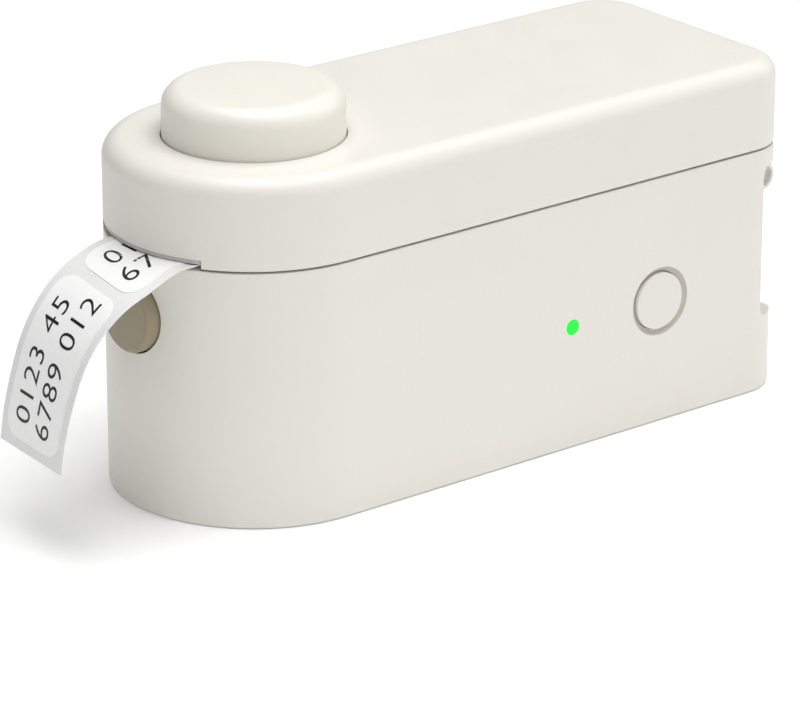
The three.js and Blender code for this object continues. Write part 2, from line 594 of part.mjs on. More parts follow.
function addRelease() {
  const { radius, y, z, face, back } = RELEASE;
  const post = bar('x', 2, back - GAP, -52.6, y, z, 24);
  add('release_button', join(bar('x', radius, face, back, y, z, 40), post), TAN);
  const crossbar = block([-52.2, -17.4, YOKE.low], [-50, 17.4, YOKE.high]);
  const arms = [-1, 1].map((sign) => {
    const [inner, outer, nose] = [sign * 15.8, sign * 16.9, sign * 19.6];
    const rail = block([-51, Math.min(inner, outer), YOKE.low], [-9, Math.max(inner, outer), YOKE.high]);
    const catchNose = block(
      [-13.2, Math.min(inner, nose), YOKE.low],
      [-9, Math.max(inner, nose), YOKE.high],
    );
    return join(rail, catchNose);
  });
  const yoke = join(crossbar, ...arms).intersect(bodyPrism(FIT + 0.1, 20, 40));
  add('latch_yoke', yoke, DARK);
  const spring = coil(2, 0.3, 0, 2.6, 2, 0, 0).rotate([0, 90, 0]).translate([-49.8, TAPE.y, 32.2]);
  add('release_spring', spring, STEEL);
}

addLowerCase();
addBasePlate();
addChassis();
addMotor();
addDrive();
addRoll();
addTape();
addElectronics();
addLid();
addLidLiner();
addCutterFrame();
addPrintHead();
addCutter();
addRelease();

export default labelMaker;
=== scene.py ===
"""Looks of the label maker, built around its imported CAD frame. Metres, +Z up, -X is the round front."""

import json
import math
import random

import bmesh
import bpy
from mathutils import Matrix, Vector


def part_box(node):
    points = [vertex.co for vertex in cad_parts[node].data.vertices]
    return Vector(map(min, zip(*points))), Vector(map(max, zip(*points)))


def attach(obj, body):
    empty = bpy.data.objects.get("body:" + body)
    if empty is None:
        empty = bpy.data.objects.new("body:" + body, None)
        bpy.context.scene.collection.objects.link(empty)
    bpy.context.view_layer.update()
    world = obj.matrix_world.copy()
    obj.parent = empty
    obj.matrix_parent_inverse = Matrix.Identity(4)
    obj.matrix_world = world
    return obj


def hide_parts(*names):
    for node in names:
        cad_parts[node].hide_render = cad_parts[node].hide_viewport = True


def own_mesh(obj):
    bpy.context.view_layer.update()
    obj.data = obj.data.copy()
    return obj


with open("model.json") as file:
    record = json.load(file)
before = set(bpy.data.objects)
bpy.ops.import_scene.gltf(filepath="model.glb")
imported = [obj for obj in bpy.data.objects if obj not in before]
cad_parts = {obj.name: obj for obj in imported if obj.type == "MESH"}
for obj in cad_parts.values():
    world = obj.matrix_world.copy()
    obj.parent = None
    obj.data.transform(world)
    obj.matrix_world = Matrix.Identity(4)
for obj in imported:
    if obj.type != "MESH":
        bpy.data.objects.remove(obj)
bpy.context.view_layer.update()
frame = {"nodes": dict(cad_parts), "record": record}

# ---- Sizes ----

# What the frame's boxes show is read from them; the rest is given here in millimetres.
MM = 0.001
case_low, case_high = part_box("lower_case")
roll_low, roll_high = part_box("label_roll")
pin_low, pin_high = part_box("hinge_pin")

# The body in plan: a straight-sided rear with rounded corners, and a half circle round FRONT_X.
HALF_WIDTH = case_high.y
REAR_X = case_high.x
BEYOND_REAR = REAR_X + 5 * MM
FRONT_X = case_low.x + HALF_WIDTH
REAR_CORNER = 8.8 * MM
WALL = 2 * MM
SEAM_LOW = case_high.z
SEAM_HIGH = SEAM_LOW + 0.35 * MM
LID_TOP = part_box("lid_shell")[1].z

# The channel across the rear end, and the hinge in it.
CHANNEL_FLOOR = 54.5 * MM
CHANNEL_LOW = 13.6 * MM
CHANNEL_HIGH = 41.2 * MM
CHANNEL_CORNER = 1.6 * MM
HINGE = Vector(((pin_low.x + pin_high.x) / 2, 0, (pin_low.z + pin_high.z) / 2))
KNUCKLE = 2.7 * MM
KNUCKLE_INNER = 12.4 * MM
KNUCKLE_OUTER = 20.5 * MM
LID_KNUCKLE = 12 * MM
PIN_RECESS = 1.9 * MM
PIN_RECESS_DEPTH = 0.9 * MM
CASE_BORE = 1.25 * MM
LID_BORE = 1.3 * MM

# Openings in the shell: radii of the round ones, and the tape slot.
PIPE_HOLE = 1.43 * MM
RING_HOLE = 6.12 * MM
RELEASE_HOLE = 7 * MM
CUTTER_HOLE = 15.4 * MM
CUTTER_RADIUS = 15.18 * MM
SLOT_TOP = 46.3 * MM
SLOT_HALF = 13.65 * MM

# How far the cutting tools reach: across the whole body, and through a single wall.
THROUGH = 40 * MM
NEAR_WALL = (-HALF_WIDTH - 5 * MM, -HALF_WIDTH + 5 * MM)
FRONT_WALL = (-70 * MM, -50 * MM)
ROOF = (50 * MM, 70 * MM)

# The roll of labels and the tape's width.
ROLL = (roll_low + roll_high) / 2
ROLL_RADIUS = (roll_high.z - roll_low.z) / 2
TAPE_LOW_Y, TAPE_HIGH_Y = roll_low.y, roll_high.y
TAPE_MIDDLE = (TAPE_LOW_Y + TAPE_HIGH_Y) / 2


# ---- Camera, light and floor ----

def add_object(name, data):
    """Puts new data into the scene as an object."""
    piece = bpy.data.objects.new(name, data)
    bpy.context.scene.collection.objects.link(piece)
    return piece


def add_camera():
    """A long lens at the viewing angle: from the near side, towards the round front, a little above."""
    azimuth = math.radians(-38.28)
    elevation = math.radians(21.33)
    distance = 0.81935
    target = Vector((-0.00585, 0, 0.01328))
    back = Vector((
        math.sin(azimuth) * math.cos(elevation),
        -math.cos(azimuth) * math.cos(elevation),
        math.sin(elevation),
    ))
    data = bpy.data.cameras.new("camera")
    data.lens = 215.885
    data.sensor_width = 36
    camera = add_object("camera", data)
    camera.location = target + back * distance
    camera.rotation_euler = (-back).to_track_quat("-Z", "Y").to_euler()
    bpy.context.scene.camera = camera


def add_softbox(name, place, aim, width, height, power):
    """A rectangular lamp at a place, turned towards a point."""
    data = bpy.data.lights.new(name, "AREA")
    data.shape = "RECTANGLE"
    data.size = width
    data.size_y = height
    data.energy = power
    light = add_object(name, data)
    light.location = place
    light.rotation_euler = (Vector(aim) - Vector(place)).to_track_quat("-Z", "Y").to_euler()


def add_studio():
    """A dim white surround, and softboxes as (name, place, width, height, watts)."""
    world = bpy.data.worlds.new("studio")
    bpy.context.scene.world = world
    world.use_nodes = True
    set_inputs(world.node_tree.nodes["Background"], {"Color": (1, 1, 1, 1), "Strength": 0.1})
    aim = (-0.01, 0, 0.03)
    softboxes = [
        ("overhead", (0.05, -0.05, 0.75), 0.7, 0.7, 6.7),
        ("near_side", (0.15, -0.8, 0.3), 0.9, 0.45, 1.36),
        ("front_side", (-0.8, 0.1, 0.3), 0.5, 0.5, 0.4),
        ("rear_side", (0.8, -0.2, 0.4), 0.5, 0.5, 0.95),
        ("front_top", (-0.4, -0.5, 0.6), 0.4, 0.4, 0.5),
        ("low_strip", (-0.284, -0.247, 0.045), 0.1, 0.08, 0.045),
    ]
    for name, place, width, height, power in softboxes:
        add_softbox(name, place, aim, width, height, power)
    bpy.context.scene.view_settings.view_transform = "Standard"


def add_floor():
    """A large sheet of white paper under the machine."""
    size = 6
    data = bpy.data.meshes.new("floor")
    corners = [(-size, -size, 0), (size, -size, 0), (size, size, 0), (-size, size, 0)]
    data.from_pydata(corners, [], [(0, 1, 2, 3)])
    floor = add_object("floor", data)
    card = plastic("floor_paper", (0.97, 0.97, 0.97), 0.8, grain=900, depth=0.00002)
    paper_shader = card.node_tree.nodes["Principled BSDF"]
    set_inputs(paper_shader, {"Emission Color": (1, 1, 1, 1), "Emission Strength": 0.1})
    floor.data.materials.append(card)


# ---- Materials ----

def shader(name):
    """A new material, its node tree and its main shader."""
    material = bpy.data.materials.new(name)
    material.use_nodes = True
    tree = material.node_tree
    return material, tree, tree.nodes["Principled BSDF"]


def set_inputs(node, values):
    for socket, value in values.items():
        node.inputs[socket].default_value = value


def texture_over(tree, kind, placing, values):
    """A texture over the object's own coordinates, moved, turned or stretched first."""
    place = tree.nodes.new("ShaderNodeTexCoord")
    mapping = tree.nodes.new("ShaderNodeMapping")
    texture = tree.nodes.new(kind)
    set_inputs(mapping, placing)
    set_inputs(texture, values)
    tree.links.new(place.outputs["Object"], mapping.inputs["Vector"])
    tree.links.new(mapping.outputs["Vector"], texture.inputs["Vector"])
    return texture


def noise(tree, scale, detail=3, stretch=(1, 1, 1)):
    """Noise, in features per metre."""
    values = {"Scale": scale, "Detail": detail}
    return texture_over(tree, "ShaderNodeTexNoise", {"Scale": stretch}, values).outputs["Fac"]


def between(tree, fac, low, high, from_low=0.3, from_high=0.7):
    """Maps a value to the range low..high."""
    node = tree.nodes.new("ShaderNodeMapRange")
    set_inputs(node, {"From Min": from_low, "From Max": from_high, "To Min": low, "To Max": high})
    tree.links.new(fac, node.inputs["Value"])
    return node.outputs["Result"]


def blend_colours(tree, fac, first, second):
    """A colour between first and second; each is a colour or a socket."""
    node = tree.nodes.new("ShaderNodeMix")
    node.data_type = "RGBA"
    tree.links.new(fac, node.inputs["Factor"])
    for socket, colour in (("A", first), ("B", second)):
        target = next(s for s in node.inputs if s.name == socket and s.type == "RGBA")
        if isinstance(colour, tuple):
            target.default_value = (*colour, 1)
        else:
            tree.links.new(colour, target)
    return next(s for s in node.outputs if s.type == "RGBA")


def mottle(tree, fac, colour, share):
    """A colour that drifts towards a darker share of itself."""
    darker = tuple(c * share for c in colour)
    return blend_colours(tree, between(tree, fac, 0, 1), colour, darker)


def bump(tree, height, depth):
    """A normal that follows a height between 0 and 1, depth metres deep."""
    node = tree.nodes.new("ShaderNodeBump")
    set_inputs(node, {"Distance": depth, "Strength": 1})
    tree.links.new(height, node.inputs["Height"])
    return node.outputs["Normal"]


def edge_wear(tree):
    """1 on convex edges, 0 on flats, where the pointiness is a half."""
    geometry = tree.nodes.new("ShaderNodeNewGeometry")
    return between(tree, geometry.outputs["Pointiness"], 0, 1, from_low=0.53, from_high=0.62)


def surface(tree, principled, tone, normal, gloss):
    """Feeds a colour, a normal and a roughness to the main shader."""
    tree.links.new(tone, principled.inputs["Base Color"])
    tree.links.new(normal, principled.inputs["Normal"])
    tree.links.new(gloss, principled.inputs["Roughness"])


def plastic(name, colour, roughness, grain=2600, depth=0.000012, drift=0.03, wear=0.0, specular=0.5,
            subsurface=0.0):
    """Moulded plastic: spark-eroded grain, a slow drift in colour, polish that varies, and rubbed edges."""
    material, tree, principled = shader(name)
    tone = mottle(tree, noise(tree, 45, 2), colour, 1 - drift)
    if wear:
        rubbed = tuple(min(1, c * (1 + wear)) for c in colour)
        tone = blend_colours(tree, edge_wear(tree), tone, rubbed)
    normal = bump(tree, noise(tree, grain, 4), depth)
    polish = noise(tree, 160, 3)
    gloss = between(tree, polish, roughness - 0.04, roughness + 0.04)
    surface(tree, principled, tone, normal, gloss)
    set_inputs(principled, {"Specular IOR Level": specular})
    if subsurface:
        set_inputs(principled, {
            "Subsurface Weight": subsurface,
            "Subsurface Radius": (0.002, 0.0016, 0.0012),
            "Subsurface Scale": 0.6,
        })
    return material


def metal(name, colour, roughness, stretch=(1, 30, 30), lines=220, depth=0.000006):
    """Machined or brushed metal: fine drawn lines in roughness and bump."""
    material, tree, principled = shader(name)
    set_inputs(principled, {"Metallic": 1})
    drawn = noise(tree, lines, 4, stretch)
    gloss = between(tree, drawn, roughness - 0.08, roughness + 0.1)
    tone = mottle(tree, drawn, colour, 0.8)
    surface(tree, principled, tone, bump(tree, drawn, depth), gloss)
    return material


def paper(name, colour, roughness, fibre=900, depth=0.000008, specular=0.4):
    """Coated label stock: faint fibres under the coating."""
    material, tree, principled = shader(name)
    fibres = noise(tree, fibre, 6, (1, 2.5, 1))
    gloss = between(tree, fibres, roughness - 0.05, roughness + 0.05)
    tone = mottle(tree, fibres, colour, 0.975)
    surface(tree, principled, tone, bump(tree, fibres, depth), gloss)
    set_inputs(principled, {"Specular IOR Level": specular})
    return material


def wound_paper(name, colour):
    """The roll of label stock: thin rings on its sides, from one winding to the next."""
    material, tree, principled = shader(name)
    placing = {"Location": (-ROLL.x, 0, -ROLL.z)}
    values = {"Scale": 700, "Distortion": 1.5, "Detail": 2}
    rings = texture_over(tree, "ShaderNodeTexWave", placing, values)
    rings.wave_type = "RINGS"
    rings.rings_direction = "Y"
    wave = rings.outputs["Fac"]
    tone = blend_colours(tree, wave, tuple(c * 0.8 for c in colour), colour)
    gloss = between(tree, noise(tree, 900, 4), 0.5, 0.62)
    surface(tree, principled, tone, bump(tree, wave, 0.00001), gloss)
    return material


def circuit(name):
    """Solder mask over copper tracks, which show as slightly raised, lighter lines."""
    material, tree, principled = shader(name)
    placing = {"Rotation": (math.radians(90), 0, 0)}
    tracks = texture_over(tree, "ShaderNodeTexBrick", placing, {
        "Scale": 260,
        "Mortar Size": 0.05,
        "Color1": (0, 0, 0, 1),
        "Color2": (0.15, 0.15, 0.15, 1),
        "Mortar": (1, 1, 1, 1),
    })
    tone = blend_colours(tree, tracks.outputs["Color"], (0.012, 0.1, 0.035), (0.04, 0.22, 0.08))
    gloss = between(tree, noise(tree, 500, 3), 0.22, 0.34)
    surface(tree, principled, tone, bump(tree, tracks.outputs["Fac"], 0.00003), gloss)
    return material


def glow(name, colour, strength):
    """A moulded light pipe lit from behind, with a faint grain."""
    material, tree, principled = shader(name)
    fine = noise(tree, 1500, 3)
    tone = mottle(tree, fine, colour, 0.9)
    tree.links.new(tone, principled.inputs["Base Color"])
    tree.links.new(tone, principled.inputs["Emission Color"])
    tree.links.new(between(tree, fine, 0.2, 0.3), principled.inputs["Roughness"])
    set_inputs(principled, {"Emission Strength": strength, "Specular IOR Level": 0.15})
    return material


def srgb(red, green, blue):
    """An 8-bit screen colour as linear light, by the sRGB curve; each part is above 10."""
    return tuple(((part / 255 + 0.055) / 1.055) ** 2.4 for part in (red, green, blue))


CREAM = (0.77, 0.745, 0.69)
finishes = {
    "cream_shell": plastic("cream_shell", CREAM, 0.4, drift=0.012, depth=0.000006, subsurface=0.05),
    "cream_button": plastic("cream_button", (0.812, 0.788, 0.718), 0.36, drift=0.012, depth=0.000004,
                            subsurface=0.05),
    "tan_plastic": plastic("tan_plastic", (0.305, 0.258, 0.172), 0.42, depth=0.000008, wear=0.1),
    "grey_plastic": plastic("grey_plastic", (0.38, 0.38, 0.375), 0.5, wear=0.2),
    # The bar over the tape slot: its grey paints in the shade under the lid's edge.
    "slot_shade_plastic": plastic("slot_shade_plastic", (0.5, 0.49, 0.46), 0.5, wear=0.1),
    "dark_plastic": plastic("dark_plastic", (0.045, 0.045, 0.05), 0.5, wear=0.5),
    "black_plastic": plastic("black_plastic", (0.012, 0.012, 0.014), 0.32, wear=0.6),
    "nylon": plastic("nylon", (0.78, 0.77, 0.7), 0.45, grain=1200, subsurface=0.15, wear=0.05),
    "rubber": plastic("rubber", (0.02, 0.02, 0.021), 0.78, grain=1500, depth=0.00002, wear=0.5, specular=0.3),
    "steel": metal("steel", (0.62, 0.62, 0.64), 0.28),
    "brass": metal("brass", (0.72, 0.52, 0.2), 0.3),
    "aluminium": metal("aluminium", (0.72, 0.73, 0.74), 0.36, stretch=(30, 1, 30)),
    "label_paper": paper("label_paper", (0.97, 0.97, 0.965), 0.45),
    "wound_paper": wound_paper("wound_paper", (0.86, 0.86, 0.85)),
    "liner_paper": paper("liner_paper", (0.83, 0.83, 0.825), 0.38, fibre=700),
    "print": paper("print", (0.012, 0.012, 0.013), 0.5, fibre=2500),
    "cardboard": paper("cardboard", (0.42, 0.32, 0.22), 0.85, fibre=400, depth=0.00004, specular=0.2),
    "circuit_board": circuit("circuit_board"),
    "battery_wrap": plastic("battery_wrap", (0.05, 0.16, 0.4), 0.28, grain=400, wear=0.15),
    "ceramic_head": plastic("ceramic_head", (0.74, 0.73, 0.69), 0.22, grain=2000, depth=0.000004),
    "flat_cable": plastic("flat_cable", (0.55, 0.26, 0.05), 0.3, grain=600, drift=0.2),
    "green_light": glow("green_light", (0.012, 0.9, 0.035), 0.95),
    # The sunk ring round the power button: the shell's cream made darker, as painted shade for the groove.
    "shaded_ring_plastic": plastic("shaded_ring_plastic", srgb(204, 199, 187), 0.4, drift=0.012, depth=0.000006),
}


# ---- Mesh helpers ----

# An edge that turns by more than this many degrees stays an edge.
SHARP = 32


def soften(corners, closed=True, steps=6):
    """Rounds the corners of a flat outline. Each corner is (u, v, radius)."""
    points = []
    count = len(corners)
    for i, (u, v, radius) in enumerate(corners):
        corner = Vector((u, v))
        if radius <= 0 or (not closed and i in (0, count - 1)):
            points.append((u, v))
            continue
        before = (Vector(corners[i - 1][:2]) - corner).normalized()
        after = (Vector(corners[(i + 1) % count][:2]) - corner).normalized()
        half = before.angle(after) / 2
        centre = corner + (before + after).normalized() * (radius / math.sin(half))
        start = corner + before * (radius / math.tan(half)) - centre
        turn = math.pi - 2 * half
        if before.x * after.y - before.y * after.x > 0:
            turn = -turn
        for k in range(steps + 1):
            spot = centre + rotated(start, turn * k / steps)
            points.append((spot.x, spot.y))
    return points


def rounded_rectangle(low, high, radius, steps=6):
    """A rectangle between two opposite (u, v) corners, with its corners rounded."""
    corners = [(low[0], low[1]), (high[0], low[1]), (high[0], high[1]), (low[0], high[1])]
    return soften([(u, v, radius) for u, v in corners], steps=steps)


def drum(radius, low, high, low_edge, high_edge):
    """The profile of a turned solid between two heights, with the radii of its two rims."""
    corners = [(0, low, 0), (radius, low, low_edge), (radius, high, high_edge), (0, high, 0)]
    return soften(corners, closed=False)


def rotated(vector, angle):
    cosine, sine = math.cos(angle), math.sin(angle)
    return Vector((vector.x * cosine - vector.y * sine, vector.x * sine + vector.y * cosine))


def make_object(name, corners, faces, smooth_angle=SHARP):
    data = bpy.data.meshes.new(name)
    data.from_pydata([tuple(c) for c in corners], [], faces)
    piece = add_object(name, data)
    tidy_normals(piece)
    shade(piece, smooth_angle)
    return piece


def tidy_normals(piece):
    """Joins corners that coincide and turns every face outwards."""
    mesh = bmesh.new()
    mesh.from_mesh(piece.data)
    bmesh.ops.remove_doubles(mesh, verts=mesh.verts, dist=1e-7)
    bmesh.ops.recalc_face_normals(mesh, faces=mesh.faces)
    mesh.to_mesh(piece.data)
    mesh.free()


def shade(piece, angle=SHARP):
    """Smooth shading, broken at edges sharper than angle."""
    limit = math.radians(angle)
    mesh = bmesh.new()
    mesh.from_mesh(piece.data)
    sharp = [len(e.link_faces) != 2 or e.calc_face_angle(0) > limit for e in mesh.edges]
    mesh.free()
    data = piece.data
    data.polygons.foreach_set("use_smooth", [True] * len(data.polygons))
    attribute = data.attributes.get("sharp_edge") or data.attributes.new("sharp_edge", "BOOLEAN", "EDGE")
    attribute.data.foreach_set("value", sharp)
    data.update()


def outline(inset, front_steps=96):
    """The body's outline in plan, moved inwards by inset; the same number of points for every inset."""
    half = HALF_WIDTH - inset
    rear = REAR_X - inset
    corner = max(REAR_CORNER - inset, 0.8 * MM)
    corner_steps = 18
    arcs = [
        (rear - corner, -half + corner, corner, -90, 0, corner_steps),
        (rear - corner, half - corner, corner, 0, 90, corner_steps),
        (FRONT_X, 0, half, 90, 270, front_steps),
    ]
    points = []
    for x, y, radius, start, end, steps in arcs:
        for k in range(steps + 1):
            angle = math.radians(start + (end - start) * k / steps)
            points.append((x + radius * math.cos(angle), y + radius * math.sin(angle)))
    return points


def loft(name, profile, wrap):
    """A shell that follows the body's outline through a profile of (inset, height) pairs."""
    corners = []
    faces = []
    count = len(outline(0))
    for inset, height in profile:
        corners += [(x, y, height) for x, y in outline(inset)]
    rows = len(profile)
    for row in range(rows if wrap else rows - 1):
        low, high = row * count, (row + 1) % rows * count
        for k in range(count):
            after = (k + 1) % count
            faces.append((low + k, low + after, high + after, high + k))
    if not wrap:
        faces.append(tuple(range(count)))
        faces.append(tuple((rows - 1) * count + k for k in range(count)))
    return make_object(name, corners, faces)


def revolve(name, profile, axis, centre, segments=96, wrap=True):
    """A turned piece. The profile holds (radius, place along the axis); a radius of 0 is on the axis."""
    corners = []
    rings = []
    for radius, along in profile:
        ring = []
        for k in range(segments if radius > 0 else 1):
            angle = 2 * math.pi * k / segments
            across, up = radius * math.cos(angle), radius * math.sin(angle)
            spot = {
                "x": (along, centre[0] + across, centre[1] + up),
                "y": (centre[0] + across, along, centre[1] + up),
                "z": (centre[0] + across, centre[1] + up, along),
            }[axis]
            ring.append(len(corners))
            corners.append(spot)
        rings.append(ring)
    faces = []
    for i in range(len(rings) if wrap else len(rings) - 1):
        low, high = rings[i], rings[(i + 1) % len(rings)]
        for k in range(segments):
            after = (k + 1) % segments
            a, b = low[k % len(low)], low[after % len(low)]
            c, d = high[after % len(high)], high[k % len(high)]
            face = list(dict.fromkeys((a, b, c, d)))
            if len(face) > 2:
                faces.append(face)
    return make_object(name, corners, faces)


def prism(name, points, axis, low, high):
    """A flat outline pushed along x, y or z; the outline is (y, z), (x, z) or (x, y)."""
    place = {
        "x": lambda u, v, w: (w, u, v),
        "y": lambda u, v, w: (u, w, v),
        "z": lambda u, v, w: (u, v, w),
    }[axis]
    count = len(points)
    corners = [place(u, v, low) for u, v in points] + [place(u, v, high) for u, v in points]
    sides = [(k, (k + 1) % count, count + (k + 1) % count, count + k) for k in range(count)]
    ends = [tuple(range(count)), tuple(range(count, 2 * count))]
    return make_object(name, corners, sides + ends)


def rounded_box(name, low, high, radius, axis="z"):
    """A box with its four long edges rounded."""
    u, v, w = {"x": (1, 2, 0), "y": (0, 2, 1), "z": (0, 1, 2)}[axis]
    points = rounded_rectangle((low[u], low[v]), (high[u], high[v]), radius, steps=5)
    return prism(name, points, axis, low[w], high[w])


def cylinder(axis, radius, low, high, centre, segments=96):
    """A round tool along an axis, round a centre in the plane across it."""
    profile = [(0, low), (radius, low), (radius, high), (0, high)]
    return revolve("tool", profile, axis, centre, segments, wrap=False)


def box_tool(low, high):
    """A square-edged tool between two opposite corners."""
    return prism("tool", rounded_rectangle(low, high, 0), "z", low[2], high[2])


def middle(node, axes):
    """The middle of a CAD node's box in the plane of two axes."""
    low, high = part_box(node)
    return tuple((getattr(low, a) + getattr(high, a)) / 2 for a in axes)


def cut(piece, tool):
    combine(piece, tool, "DIFFERENCE")


def join(piece, tool):
    combine(piece, tool, "UNION")


def combine(target, tool, operation):
    """Cuts a tool away from a piece, or joins it on, and removes the tool."""
    modifier = target.modifiers.new("combine", "BOOLEAN")
    modifier.operation = operation
    modifier.solver = "EXACT"
    modifier.object = tool
    depsgraph = bpy.context.evaluated_depsgraph_get()
    depsgraph.update()
    result = bpy.data.meshes.new_from_object(target.evaluated_get(depsgraph))
    target.modifiers.remove(modifier)
    target.data = result
    bpy.data.objects.remove(tool)


def clean_edges(piece, width=0.25 * MM, segments=3):
    """Rounds every remaining sharp edge a little and keeps the flats flat."""
    merge = 0.002 * MM
    mesh = bmesh.new()
    mesh.from_mesh(piece.data)
    bmesh.ops.remove_doubles(mesh, verts=mesh.verts, dist=merge)
    bmesh.ops.dissolve_degenerate(mesh, dist=merge, edges=mesh.edges)
    mesh.to_mesh(piece.data)
    mesh.free()
    shade(piece)
    edge = piece.modifiers.new("edge", "BEVEL")
    edge.width = width
    edge.segments = segments
    edge.limit_method = "ANGLE"
    edge.angle_limit = math.radians(SHARP)
    weighted = piece.modifiers.new("flats", "WEIGHTED_NORMAL")
    weighted.keep_sharp = True


def dress(piece, finish, body, nodes=()):
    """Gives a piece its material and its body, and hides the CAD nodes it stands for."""
    piece.data.materials.clear()
    piece.data.materials.append(finishes[finish])
    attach(piece, body)
    if nodes:
        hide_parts(*nodes)


# ---- Case ----

def build_case():
    """The lower case: a wall round the outline, open above and below, with the channel at its rear end."""
    profile = soften([
        (0, case_low.z, 0.4 * MM),
        (0, SEAM_LOW, 0.3 * MM),
        (WALL, SEAM_LOW, 0.3 * MM),
        (WALL, case_low.z, 0.2 * MM),
    ], steps=4)
    case = loft("case_shell", profile, wrap=True)
    add_channel(case)
    add_case_knuckles(case)
    cut_case_holes(case)
    clean_edges(case)
    dress(case, "cream_shell", "base", ["lower_case"])


def add_channel(case):
    """Fills the rear end, cuts the channel with its rounded lips, and makes room for the lid's knuckle."""
    inset = 1 * MM
    lining = CHANNEL_FLOOR - WALL
    rear = sorted((p for p in outline(inset) if p[0] > lining), key=lambda p: p[1])
    block = [(lining, HALF_WIDTH - inset), (lining, -HALF_WIDTH + inset), *rear]
    join(case, prism("tool", block, "z", CHANNEL_LOW - WALL, SEAM_LOW - 0.15 * MM))
    channel = soften([
        (CHANNEL_FLOOR, CHANNEL_LOW, CHANNEL_CORNER),
        (BEYOND_REAR, CHANNEL_LOW, 0),
        (BEYOND_REAR, CHANNEL_HIGH, 0),
        (CHANNEL_FLOOR, CHANNEL_HIGH, CHANNEL_CORNER),
    ])
    cut(case, prism("tool", channel, "y", -THROUGH, THROUGH))
    for height, radius, side in ((CHANNEL_LOW, 2, -1), (CHANNEL_HIGH, 2.9, 1), (SEAM_LOW, 1.4, -1)):
        cut(case, lip_cutter(height, radius * MM, side))
    notch_low = (CHANNEL_FLOOR, -KNUCKLE_INNER, CHANNEL_HIGH - 1 * MM)
    notch_high = (BEYOND_REAR, KNUCKLE_INNER, SEAM_HIGH + 5 * MM)
    cut(case, box_tool(notch_low, notch_high))


def lip_cutter(height, radius, side):
    """What is cut away to round a rear edge along y: side 1 rounds a lower edge, -1 an upper edge."""
    spread = 0.6 * MM
    start = REAR_X - radius
    points = [(REAR_X + spread, height - side * spread), (start, height - side * spread), (start, height)]
    steps = 8
    for k in range(steps + 1):
        angle = math.radians(90 * k / steps)
        reach = radius * math.sin(angle)
        rise = radius * (1 - math.cos(angle))
        points.append((start + reach, height + side * rise))
    points.append((REAR_X + spread, height + side * radius))
    return prism("tool", points, "y", -THROUGH, THROUGH)


def knuckle(near, far, edge):
    """A drum round the hinge's axis, with rounded rims."""
    return revolve("tool", drum(KNUCKLE, near, far, edge, edge), "y", (HINGE.x, HINGE.z), 64, wrap=False)


def add_case_knuckles(case):
    """The two outer knuckles on their webs, each with a round recess in its outer end."""
    web_inset = 0.6 * MM
    web_half = 2.1 * MM
    for near, far in ((-KNUCKLE_OUTER, -KNUCKLE_INNER), (KNUCKLE_INNER, KNUCKLE_OUTER)):
        join(case, knuckle(near, far, 0.5 * MM))
        web_low = (CHANNEL_FLOOR - 0.5 * MM, near + web_inset, HINGE.z - web_half)
        web_high = (HINGE.x, far - web_inset, HINGE.z + web_half)
        join(case, box_tool(web_low, web_high))
    bottom = KNUCKLE_OUTER - PIN_RECESS_DEPTH
    for start, end in ((-HALF_WIDTH, -bottom), (bottom, HALF_WIDTH)):
        cut(case, cylinder("y", PIN_RECESS, start, end, (HINGE.x, HINGE.z), 64))


def cut_case_holes(case):
    """Holes for the status light, the power button, the release button, the pin and the charging socket."""
    pin_span = (pin_low.y - 0.2 * MM, pin_high.y + 0.2 * MM)
    holes = [
        ("y", PIPE_HOLE, NEAR_WALL, middle("light_pipe", "xz")),
        ("y", RING_HOLE, NEAR_WALL, middle("power_ring", "xz")),
        ("x", RELEASE_HOLE, FRONT_WALL, middle("release_button", "yz")),
        ("y", CASE_BORE, pin_span, (HINGE.x, HINGE.z)),
    ]
    for axis, radius, (start, end), centre in holes:
        cut(case, cylinder(axis, radius, start, end, centre))
    low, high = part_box("usb_socket")
    gap = 0.3 * MM
    port = rounded_rectangle((low.y - gap, low.z - gap), (high.y + gap, high.z + gap), 1.6 * MM)
    cut(case, prism("tool", port, "x", REAR_X - 4 * MM, BEYOND_REAR))


# ---- Lid ----

def build_lid():
    """The lid: a roof that rolls over into its wall, with the middle knuckle, the slot and four posts."""
    ceiling = LID_TOP - WALL
    rim = 5 * MM
    profile = soften([
        (WALL + rim, ceiling, 0),
        (WALL, ceiling, 1.6 * MM),
        (WALL, SEAM_HIGH, 0.3 * MM),
        (0, SEAM_HIGH, 0.3 * MM),
        (0, LID_TOP, 3.3 * MM),
        (rim, LID_TOP, 0),
    ], closed=False, steps=10)
    lid = loft("lid_cover", profile, wrap=False)
    cut(lid, cylinder("z", CUTTER_HOLE, *ROOF, (FRONT_X, 0), 160))
    join(lid, knuckle(-LID_KNUCKLE, LID_KNUCKLE, 0.4 * MM))
    arm_half = LID_KNUCKLE - 0.5 * MM
    arm_low = (HINGE.x - 1.2 * MM, -arm_half, HINGE.z)
    arm_high = (REAR_X - 1.1 * MM, arm_half, 48.5 * MM)
    join(lid, box_tool(arm_low, arm_high))
    slot_low = (FRONT_WALL[0], -SLOT_HALF, 40 * MM)
    slot_high = (FRONT_WALL[1], SLOT_HALF, SLOT_TOP)
    cut(lid, box_tool(slot_low, slot_high))
    bore_half = LID_KNUCKLE + 1 * MM
    cut(lid, cylinder("y", LID_BORE, -bore_half, bore_half, (HINGE.x, HINGE.z), 32))
    post, post_foot, post_head = 2 * MM, 50.9 * MM, ceiling + 0.5 * MM
    for x, y in ((-24, -19), (-24, 19), (-49.6, -14.9), (-49.6, 14.9)):
        join(lid, cylinder("z", post, post_foot, post_head, (x * MM, y * MM), 32))
    clean_edges(lid)
    dress(lid, "cream_shell", "lid", ["lid_shell"])


